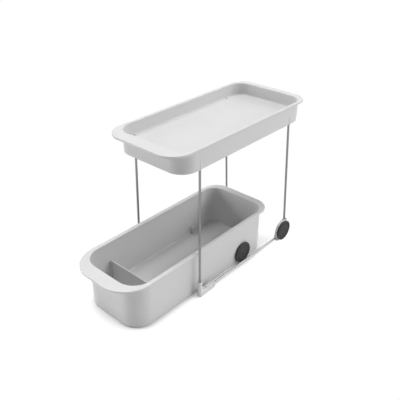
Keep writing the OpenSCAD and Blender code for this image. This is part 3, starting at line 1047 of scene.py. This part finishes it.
@dataclass
class Wires:
    """Steel uprights and floor rails."""

    radius: float = 2.5
    # Heights of an upright's ends
    low: float = 7.0
    high: float = 328.5
    # Rail: its axis in x and z, and its ends in y
    rail_x: float = 97.105
    rail_z: float = 9.0
    rail_start: float = -55.365
    rail_end: float = 217.0
    # Radius on the end edges, radius of the flat at the very end, and lengths of the mesh
    end_r: float = 0.6
    tip_r: float = 0.05
    lengths: int = 24

    def rod(self, start: Point, end: Point) -> Form:
        """Round wire with broken end edges.

        Args:
            start: first end of its axis.
            end: last end of its axis.

        Returns:
            The form.
        """
        way = Vector(end) - Vector(start)
        r = self.radius
        e = self.end_r
        outline = [(self.tip_r, 0.0), *quarter((r - e, e), e, -90, 0, 3)]
        for i in range(1, self.lengths):
            outline.append((r, e + (way.length - 2 * e) * i / self.lengths))
        outline += [*quarter((r - e, way.length - e), e, 0, 90, 3), (self.tip_r, way.length)]
        return lathe(outline, start, tuple(way), WIRE_STEPS)

    def build(self, shop: Workshop) -> None:
        """Makes the wires of both sides and dresses them."""
        for side in Side:
            for word, post in (("front", FRONT_POST), ("rear", REAR_POST)):
                rod = self.rod(post.at(self.low), post.at(self.high)).on(side)
                piece = rod.build(f"{word}_upright_wire_{side.label}", SLIM_CREASE)
                shop.dress(piece, UPRIGHT_STEEL, "wire_steel", Body.FRAME.value,
                           f"{word}_upright_{side.label}")
            rail = self.rod((self.rail_x, self.rail_start, self.rail_z),
                            (self.rail_x, self.rail_end, self.rail_z)).on(side)
            piece = rail.build(f"floor_rail_wire_{side.label}", SLIM_CREASE)
            shop.dress(piece, RAIL_STEEL_LIGHTENED, "wire_steel", Body.FRAME.value, f"rail_wire_{side.label}")


@dataclass
class Connectors:
    """Moulded front feet and rear brackets, with every edge and inner corner softened."""

    # Size of the even mesh's cells, number and strength of the smoothing passes, share of faces kept
    voxel: float = 0.38
    passes: int = 3
    pull: float = 0.5
    keep: float = 0.45

    def soften(self, node: str, name: str) -> bpy.types.Object:
        """Copies a solid's mesh and rounds its edges and inner corners as a mould does.

        Args:
            node: node whose form is taken.
            name: name of the new piece.

        Returns:
            The new object.
        """
        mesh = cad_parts[node].data.copy()
        mesh.name = name
        piece = bpy.data.objects.new(name, mesh)
        bpy.context.scene.collection.objects.link(piece)
        remesh = piece.modifiers.new("even_mesh", "REMESH")
        remesh.mode = "VOXEL"
        remesh.voxel_size = self.voxel * MM
        smooth = piece.modifiers.new("soft_edges", "SMOOTH")
        smooth.factor = self.pull
        smooth.iterations = self.passes
        thin = piece.modifiers.new("fewer_faces", "DECIMATE")
        thin.ratio = self.keep
        bpy.context.view_layer.update()
        seen = piece.evaluated_get(bpy.context.evaluated_depsgraph_get())
        final = bpy.data.meshes.new_from_object(seen)
        piece.modifiers.clear()
        piece.data = final
        final.shade_smooth()
        return piece

    def build(self, shop: Workshop) -> None:
        """Makes the connectors of both sides and dresses them."""
        for side in Side:
            for word in ("front_foot", "rear_bracket"):
                node = f"{word}_{side.label}"
                piece = self.soften(node, f"{word}_moulding_{side.label}")
                shop.dress(piece, CONNECTOR_PLASTIC, "connector_plastic", Body.FRAME.value, node)


@dataclass
class Wheel:
    """Tyre, hub and cap of one wheel; its axle keeps the node's mesh.

    The second number of each pair in an outline is x from the wheel's outer face.
    """

    name: str
    face_x: float
    centre: Pair
    body: Body
    # Width of the wheel, and the gap between pieces that fit into each other
    thick: float = 4.6
    fit: float = 0.03
    # Tyre: radius, radius on its edges, flat on its back, and groove by distance inside its radius
    tyre_r: float = 26.0
    tyre_edge: float = 1.1
    tyre_bead: float = 0.6
    tyre_groove: tuple[Pair, ...] = ((2.6, 0.0), (2.8, -0.25), (3.2, -0.25), (3.4, -0.04))
    # Hub: radius, bevel on its back, and front edge by distance inside its radius
    hub_r: float = 21.5
    hub_edge: float = 0.4
    hub_rim: tuple[Pair, ...] = ((0.0, -0.5), (0.35, -0.1))
    # Shallow ring on the hub's face, by distance outside the cap's seat
    hub_ring: tuple[Pair, ...] = ((1.6, -0.1), (1.3, -0.3), (0.5, -0.3), (0.2, -0.05), (0.0, -0.2))
    # Radius of the bore; radius and depth of the recess for the axle's head
    bore_r: float = 2.55
    head: Pair = (4.7, 2.2)
    # Cap: radius, thickness, bevel on its back, radius on its front edge, depth of its straight side
    cap_r: float = 17.5
    cap_t: float = 1.2
    cap_back: float = 0.2
    cap_edge: float = 0.5
    cap_side: float = 0.55
    # Edge of its dish by distance inside its radius, then dish and centre mark by their radius
    cap_dish: tuple[Pair, ...] = ((1.6, -0.02), (2.3, -0.22))
    cap_middle: tuple[Pair, ...] = ((8.75, -0.36), (3.2, -0.40), (2.6, -0.25), (0.1, -0.22))

    def turned(self, outline: list[Pair], ring: bool = True) -> Form:
        """Round form about the right wheel's axle; a ring's outline is closed."""
        return lathe(outline, (self.face_x, *self.centre), ACROSS, WHEEL_STEPS, ring)

    def tyre(self) -> Form:
        """Rounded tyre with a fine groove beside its tread."""
        inner = self.hub_r + self.fit
        r = self.tyre_r
        e = self.tyre_edge
        face = self.tyre_groove[-1][1]
        return self.turned([
            (inner, -self.thick),
            (inner + self.tyre_bead, -self.thick),
            *quarter((r - e, e - self.thick), e, -90, 0, 5),
            *quarter((r - e, -e), e, 0, 90, 5),
            *((r - inset, x) for inset, x in self.tyre_groove),
            (inner, face),
        ])

    def hub(self) -> Form:
        """Hub disc with a seat for the cap and a shallow ring round it."""
        seat = self.cap_r + self.fit
        head_r, head_t = self.head
        return self.turned([
            (self.bore_r, -self.thick),
            (self.hub_r - self.hub_edge, -self.thick),
            (self.hub_r, self.hub_edge - self.thick),
            *((self.hub_r - inset, x) for inset, x in self.hub_rim),
            *((seat + outset, x) for outset, x in self.hub_ring),
            (seat, -self.cap_t),
            (head_r, -self.cap_t),
            (head_r, -head_t),
            (self.bore_r, -head_t),
        ])

    def cap(self) -> Form:
        """Cap with a soft edge, a faint dish and a centre mark."""
        r = self.cap_r
        e = self.cap_edge
        outline = [
            (self.cap_middle[-1][0], -self.cap_t),
            (r - self.cap_back, -self.cap_t),
            (r, self.cap_back - self.cap_t),
            (r, -self.cap_side),
            *quarter((r - e, -e), e, 0, 90, 3),
            *((r - inset, x) for inset, x in self.cap_dish),
            *self.cap_middle,
        ]
        return self.turned(outline, ring=False)

    def build(self, shop: Workshop) -> None:
        """Makes the wheels of both sides and dresses them."""
        hub_finish = TurnedPlastic(f"{self.name}_hub_plastic", HUB_COLOUR, self.centre)
        cap_finish = TurnedPlastic(f"{self.name}_cap_plastic", CAP_COLOUR, self.centre)
        parts = (
            ("tyre", self.tyre(), TYRE_RUBBER, "tyre_rubber"),
            ("hub", self.hub(), hub_finish, "hub_plastic"),
            ("cap", self.cap(), cap_finish, "cap_plastic"),
        )
        for side in Side:
            for word, form, finish, slot in parts:
                piece = form.on(side).build(f"{self.name}_{word}_{side.label}_turned", WHEEL_CREASE)
                shop.dress(piece, finish, slot, self.body.on(side), f"{self.name}_{word}_{side.label}")
            shop.recoat(f"{self.name}_axle_{side.label}", AXLE_STEEL)


def small_parts(shop: Workshop) -> None:
    """Dresses the pads and glides, which keep their solids' meshes."""
    for side in Side:
        shop.recoat(f"foot_pad_{side.label}", PAD_RUBBER)
        shop.recoat(f"bin_glide_{side.label}", GLIDE_PLASTIC)


def main() -> None:
    """Builds the studio and the caddy, piece by piece."""
    Studio().set_up()
    shop = Workshop()
    Tray().build(shop)
    Wires().build(shop)
    Connectors().build(shop)
    Bin().build(shop)
    Divider().build(shop)
    Wheel("frame", 107.4, FRAME_AXLE, Body.FRAME_WHEEL).build(shop)
    Wheel("bin", 89.16, BIN_AXLE, Body.BIN_WHEEL).build(shop)
    small_parts(shop)


if __name__ == "__main__":
    logging.basicConfig(level=logging.INFO)
    main()
